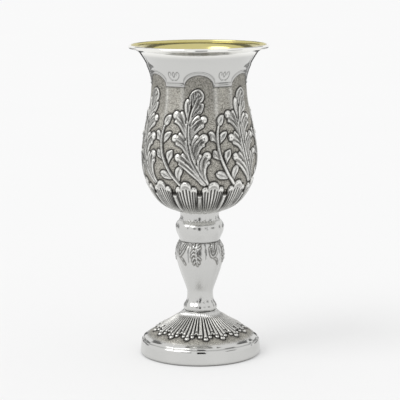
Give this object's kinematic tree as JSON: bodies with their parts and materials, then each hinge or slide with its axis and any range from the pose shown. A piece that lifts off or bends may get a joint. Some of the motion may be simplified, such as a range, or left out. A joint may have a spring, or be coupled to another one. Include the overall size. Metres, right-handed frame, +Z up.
{
  "type": "elijah cup",
  "caption": "Footed silver goblet with flared lip, leaf-chased tulip bowl, lobed knop, baluster stem and shell-fluted domed foot, gilded inside.",
  "frame": {"origin": "bottom centre of the foot, on the surface that the cup stands on", "axes": "+Z up along the cup's axis, front of the cup faces -Y"},
  "size_m": [0.0938, 0.0938, 0.21],
  "materials": {
    "polished_silver": "bright hand-polished sterling silver, darkened in the recesses",
    "chased_silver": "chased silver, leaves bright on a stippled, oxidised warm grey ground",
    "gilt_inside": "thin bright gilding on the inside of the bowl"
  },
  "bodies": {
    "root": {"foot": "polished_silver", "baluster": "polished_silver", "knop": "polished_silver", "bowl": "chased_silver"}
  },
  "joints": []
}
